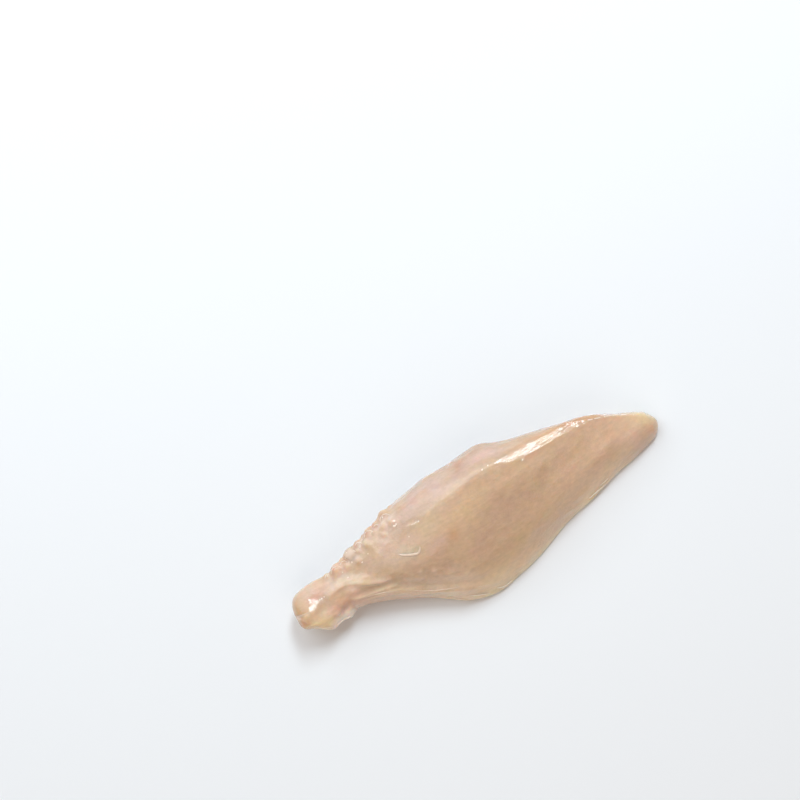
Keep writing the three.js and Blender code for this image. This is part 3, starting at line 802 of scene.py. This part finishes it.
skin, spine = filletForm(filletRows())
skin = skin + gridNormals(skin) * mainRelief(skin, gridNormals(skin))[..., None]
skin = skin + gridNormals(skin) * fineRelief(skin, gridNormals(skin))[..., None]
skin = np.clip(skin, *(np.array(corner) / mm for corner in cadBox))  # it stays in the solid's box
outward = gridNormals(skin)
pole = halfLength - fillet["poleInset"]
ends = np.array([(-pole, *spine[0, 1:]), (pole, *spine[-1, 1:])])
skinPoints = np.concatenate([ends[:1], skin.reshape(-1, 3), ends[1:]])
body = meshPiece("filletBody", skinPoints, *closedGrid(*skin.shape[:2]), steamedMeat())
addColours(body, "meatAndPaintedLight", meatColoursAndPaintedLight(skinPoints))
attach(body, "root")
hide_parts("chicken_fillet")
print("fillet body:", len(skinPoints), "points")


def onSkin(places, inset=0, leastUp=0.03):
    # the upper side's points and outward directions that are nearest in plan to the given shares
    spots = inPlan(places)
    upper = outward[..., 2] > leastUp
    points, directions = skin[upper], outward[upper]
    nearest = ((points[:, None, :2] - spots) ** 2).sum(-1).argmin(0)
    return points[nearest] - directions[nearest] * inset, directions[nearest]


def joined(shells):
    # several closed shells (points, quads, triangles) as one
    shift, points, quads, triangles = 0, [], [], []
    for shellPoints, shellQuads, shellTriangles in shells:
        points.append(shellPoints)
        quads.append(shellQuads + shift)
        triangles.append(shellTriangles + shift)
        shift += len(shellPoints)
    return np.concatenate(points), np.concatenate(quads), np.concatenate(triangles)


def lump(centre, normal, radii, seed, rows=20, columns=30, dents=0.12, spacing=1.8):
    # a ball whose radius swells and dents with smooth noise, stretched along, across and off the
    # skin
    theta = math.pi * (np.arange(rows) + 1) / (rows + 1)
    phi = 2 * math.pi * np.arange(columns) / columns
    ball = np.stack([np.sin(theta)[:, None] * np.cos(phi), np.sin(theta)[:, None] * np.sin(phi),
                     np.cos(theta)[:, None] + 0 * phi], -1)
    ball = np.concatenate([[[0, 0, 1]], ball.reshape(-1, 3), [[0, 0, -1]]])
    ball *= (1 + dents * waves(ball, spacing, seed))[:, None]
    side = np.cross(normal, (0.6, -0.8, 0.1))  # no skin under a lump faces that way
    side /= np.linalg.norm(side)
    axes = np.stack([side, np.cross(normal, side), normal])
    quads, triangles = closedGrid(rows, columns)
    return centre + ball * radii @ axes, quads, triangles


def twoTones(name, look):
    # a pattern mixes two tones, and a ripple, where there is one, dents the wet coat
    material, tree, shader, where = newMaterial(name, look["shader"])
    size, detail = look["pattern"]
    noise = addNode(tree, "ShaderNodeTexNoise", {
        "Vector": where, "Scale": 1 / (size * mm), "Detail": detail})
    dark, pale = (linear(code) for code in look["tones"])
    tone = addNode(tree, "ShaderNodeMix", {0: noise.outputs["Fac"],
                                           6: dark, 7: pale}, data_type="RGBA")
    tree.links.new(tone.outputs[2], shader.inputs["Base Color"])
    if "ripple" in look:
        size, detail, strength, high = look["ripple"]
        ripple = addNode(tree, "ShaderNodeTexNoise", {
            "Vector": where, "Scale": 1 / (size * mm), "Detail": detail})
        bump = addNode(tree, "ShaderNodeBump", {
            "Height": ripple.outputs["Fac"], "Strength": strength, "Distance": high * mm})
        tree.links.new(bump.outputs[0], shader.inputs["Coat Normal"])
    return material


# Set meat juice at the torn edge: a clear, faintly yellow gelatine, smooth and wet. It lets the
# light through, so that a lump reads paler than the meat, with a bright rim and a sharp glint.
# Lumps: place, radii along the side, across it and out of the skin, and how deep they sink. Pattern
# and ripple: size in millimetres and detail, and the ripple's strength and height.
juice = {
    "lumps": [((-0.311, 0.255), (1.8, 1.6, 0.5), 0.43), ((-0.275, 0.285), (1.5, 1.1, 0.4), 0.34)],
    "seed": 40, "tones": ("d2b49c", "e2cab8"), "pattern": (1.6, 3.0),
    "ripple": (0.7, 2.0, 0.3, 0.3),
    "shader": {
        "Roughness": 0.22, "IOR": 1.36, "Subsurface Weight": 0.3, "Subsurface Scale": 0.0004,
        "Subsurface Radius": (1, 0.7, 0.5), "Coat Weight": 1.0, "Coat Roughness": 0.05,
        "Coat IOR": 1.42},
}

shells = []
for number, (place, radii, sink) in enumerate(juice["lumps"]):
    centre, normal = onSkin([place], sink)
    shells.append(lump(centre[0], normal[0], radii, juice["seed"] + number))
juicePiece = meshPiece("setJuiceLumps", *joined(shells), twoTones("setJuiceJelly", juice))
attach(juicePiece, "root")
print("set juice lumps:", len(shells))


def tube(path, radii, flatness, columns=14):
    # a closed tube along a path: rings across the path's run, with the given radius at each point,
    # which the flatness shrinks upwards
    run = np.gradient(path, axis=0)
    run /= np.linalg.norm(run, axis=1, keepdims=True)
    side = np.cross(run, (0, 0, 1))
    side /= np.linalg.norm(side, axis=1, keepdims=True)
    up = np.cross(side, run)
    phi = 2 * math.pi * np.arange(columns) / columns
    ring = side[:, None] * np.cos(phi)[:, None] + up[:, None] * np.sin(phi)[:, None]
    points = path[:, None] + ring * radii[:, None, None] * (1, 1, flatness)
    quads, triangles = closedGrid(len(path), columns)
    return np.concatenate([path[:1], points.reshape(-1, 3), path[-1:]]), quads, triangles


# Threads: rings, how many points of the skin a place is evened over, and the thickness at the ends
# as a share of that in the middle, which is held over the end gap
thread = {"rings": 60, "evened": 9, "atEnds": 0.25, "endGap": 0.02}


def threadOnSkin(places, width, lift):
    # a path over the skin, lifted by a share of its thickness, that swells in the middle as the
    # root of a sine
    points, normals = onSkin(smoothPath(places, thread["rings"]))
    kernel = np.hanning(thread["evened"]) / np.hanning(thread["evened"]).sum()
    margin = thread["evened"] // 2
    padded = np.pad(points, ((margin, margin), (0, 0)), mode="edge")
    points = np.stack([np.convolve(values, kernel, "valid") for values in padded.T], -1)
    t = np.clip(np.linspace(0, 1, thread["rings"]), thread["endGap"], 1 - thread["endGap"])
    swell = thread["atEnds"] + (1 - thread["atEnds"]) * np.sqrt(np.sin(math.pi * t))
    return evenlySpaced(points) + normals.mean(0) * lift * width, width / 2 * swell


# Sinew and loose membrane: collagen, white and half clear, tight and wet, a little yellow where
# thick. Threads: path, thickness and lift as a share of it.
sinew = {
    "threads": {
        "curl": ([(-0.208, 0.1), (-0.2, 0.08), (-0.187, 0.06), (-0.172, 0.043), (-0.162, 0.042),
            (-0.156, 0.055), (-0.152, 0.075)], 1.0, -0.1),
        "endFibre": ([(-0.497, 0.05), (-0.484, 0.046), (-0.462, 0.038)], 0.3, 0.0),
        "longWisp": ([(-0.236, -0.15), (-0.22, -0.179), (-0.185, -0.24), (-0.152, -0.282),
            (-0.129, -0.306), (-0.115, -0.318)], 0.4, 0.0),
        "neckWisp": ([(-0.33, -0.06), (-0.3, -0.08), (-0.27, -0.108), (-0.25, -0.138)], 0.4, -0.1),
    },
    "flatness": 0.6, "tones": ("d4b69c", "ecd8c6"), "pattern": (0.9, 3.0),
    "shader": {
        "Roughness": 0.3, "IOR": 1.42, "Subsurface Weight": 0.2, "Subsurface Scale": 0.0002,
        "Subsurface Radius": (1, 0.7, 0.5), "Coat Weight": 0.8, "Coat Roughness": 0.08,
        "Coat IOR": 1.42},
}

shells = [tube(*threadOnSkin(*line), sinew["flatness"]) for line in sinew["threads"].values()]
sinewPiece = meshPiece("sinewThreads", *joined(shells), twoTones("wetSinew", sinew))
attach(sinewPiece, "root")
print("sinew threads:", len(shells))

# Fat and thin membrane edges: steaming turns them an opaque, waxy white, a little yellow where they
# are thick, and they shine under the juice. In part, the same white stands in for painted
# highlights: bright lip edges, bright rims on the lobes' lit sides, and the dashes and specks,
# which are painted glints. Edges: path, thickness and lift as a share of it. Rims round the torn
# lobes: centre, radius in millimetres, first and last angle. Specks: place and radius, and how deep
# they sink and how they are stretched as shares of it.
fatAndGlints = {
    "edges": {
        # partly thin membrane, partly painted highlight: the lip edges are whitened where their
        # sharp edges catch the light
        "lipOne": ([(-0.155, -0.348), (-0.146, -0.368), (-0.13, -0.41), (-0.112, -0.444)],
            0.45, 0.1),
        "lipTwo": ([(-0.112, -0.405), (-0.098, -0.423), (-0.078, -0.452), (-0.06, -0.472)],
            0.5, 0.1),
        "lipThree": ([(-0.04, -0.46), (-0.033, -0.472), (-0.02, -0.48), (-0.01, -0.478),
            (0.004, -0.47)], 0.45, 0.1),
        "lipFour": ([(-0.088, -0.372), (-0.07, -0.39), (-0.05, -0.41)], 0.25, -0.2),
        "lowRim": ([(0.262, -0.226), (0.278, -0.217), (0.308, -0.2), (0.33, -0.181)], 0.42, 0.2),
        "lowRimTwo": ([(0.3, -0.183), (0.312, -0.177), (0.33, -0.165)], 0.32, 0.1),
        # painted highlights: these dashes and the tip dash are white strokes standing in for the
        # broken glint along the crest
        "ridgeDash": ([(0.345, 0.272), (0.351, 0.266), (0.358, 0.259)], 0.4, -0.1),
        "ridgeDashTwo": ([(0.361, 0.257), (0.37, 0.249), (0.377, 0.243)], 0.35, -0.1),
        "ridgeDashThree": ([(0.388, 0.23), (0.396, 0.223), (0.404, 0.215)], 0.25, -0.1),
        "tipDash": ([(0.424, 0.187), (0.432, 0.176), (0.439, 0.165)], 0.3, -0.1),
        "tabEdge": ([(-0.425, -0.14), (-0.41, -0.132), (-0.396, -0.128), (-0.384, -0.134)],
            0.45, 0.1),
        "tornStreak": ([(-0.15, 0.236), (-0.138, 0.233), (-0.124, 0.233)], 0.3, -0.2),
    },
    "edgeFlatness": 0.6,
    # partly thin membrane, partly painted highlight: bright rims along the lobes' lit sides
    "rims": [
        (-0.384, 0.185, 0.9, 40, 170), (-0.357, 0.185, 1.9, 25, 165), (-0.334, 0.21, 1.1, 20, 150),
        (-0.309, 0.23, 2.1, 25, 170), (-0.281, 0.27, 1.3, 20, 150), (-0.246, 0.295, 1.8, 25, 165),
        (-0.222, 0.325, 1.0, 20, 150), (-0.193, 0.34, 1.9, 25, 170)],
    "rimPoints": 7, "rimWidth": 0.22, "rimFlatness": 1,
    # painted highlights: small white beads where the wet skin glints, on the torn lobes, the knob
    # and along the crest
    "specks": [
        (-0.32, 0.256, 0.3), (-0.316, 0.226, 0.28), (-0.316, 0.2, 0.3), (-0.197, 0.372, 0.35),
        (-0.235, 0.319, 0.3), (-0.126, 0.232, 0.3), (-0.164, 0.171, 0.26), (-0.182, 0.282, 0.45),
        (-0.176, 0.29, 0.3), (-0.427, 0.079, 0.26), (-0.421, 0.077, 0.24), (-0.414, 0.08, 0.24),
        (-0.34, 0.12, 0.25), (-0.347, 0.17, 0.22), (0.163, 0.254, 0.25), (0.066, 0.33, 0.28),
        (0.083, 0.335, 0.22), (-0.27, 0.2, 0.2), (-0.292, 0.166, 0.24), (0.386, 0.232, 0.22),
        (0.407, 0.211, 0.2), (0.452, 0.143, 0.2)],
    "speckSink": 0.35, "speckShape": (1.3, 1, 0.6), "speckGrid": (8, 12), "seed": 80,
    "tones": ("ecd6c0", "fff4e6"), "pattern": (0.7, 2.0),
    "shader": {"Roughness": 0.35, "IOR": 1.45, "Coat Weight": 0.8, "Coat Roughness": 0.08},
}


def lobeArc(along, across, radius, first, last):
    # points on a circle round a lobe, as shares of the length and width
    angle = np.radians(np.linspace(last, first, fatAndGlints["rimPoints"]))
    return np.column_stack([along + radius * np.cos(angle) / fillet["length"],
                            across + radius * np.sin(angle) / fillet["width"]])


shells = [tube(*threadOnSkin(*edge), fatAndGlints["edgeFlatness"]) for edge in fatAndGlints["edges"].values()]
for rim in fatAndGlints["rims"]:
    shells.append(tube(*threadOnSkin(lobeArc(*rim), fatAndGlints["rimWidth"], 0), fatAndGlints["rimFlatness"]))
for number, (along, across, radius) in enumerate(fatAndGlints["specks"]):
    centre, normal = onSkin([(along, across)], fatAndGlints["speckSink"] * radius)
    radii = radius * np.array(fatAndGlints["speckShape"])
    shells.append(lump(centre[0], normal[0], radii, fatAndGlints["seed"] + number, *fatAndGlints["speckGrid"]))
fatAndGlintPiece = meshPiece("paleFatAndPaintedGlints", *joined(shells), twoTones("steamedFatAndPaintedGlints", fatAndGlints))
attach(fatAndGlintPiece, "root")
print("pale edges, rims and specks of fat:", len(shells))
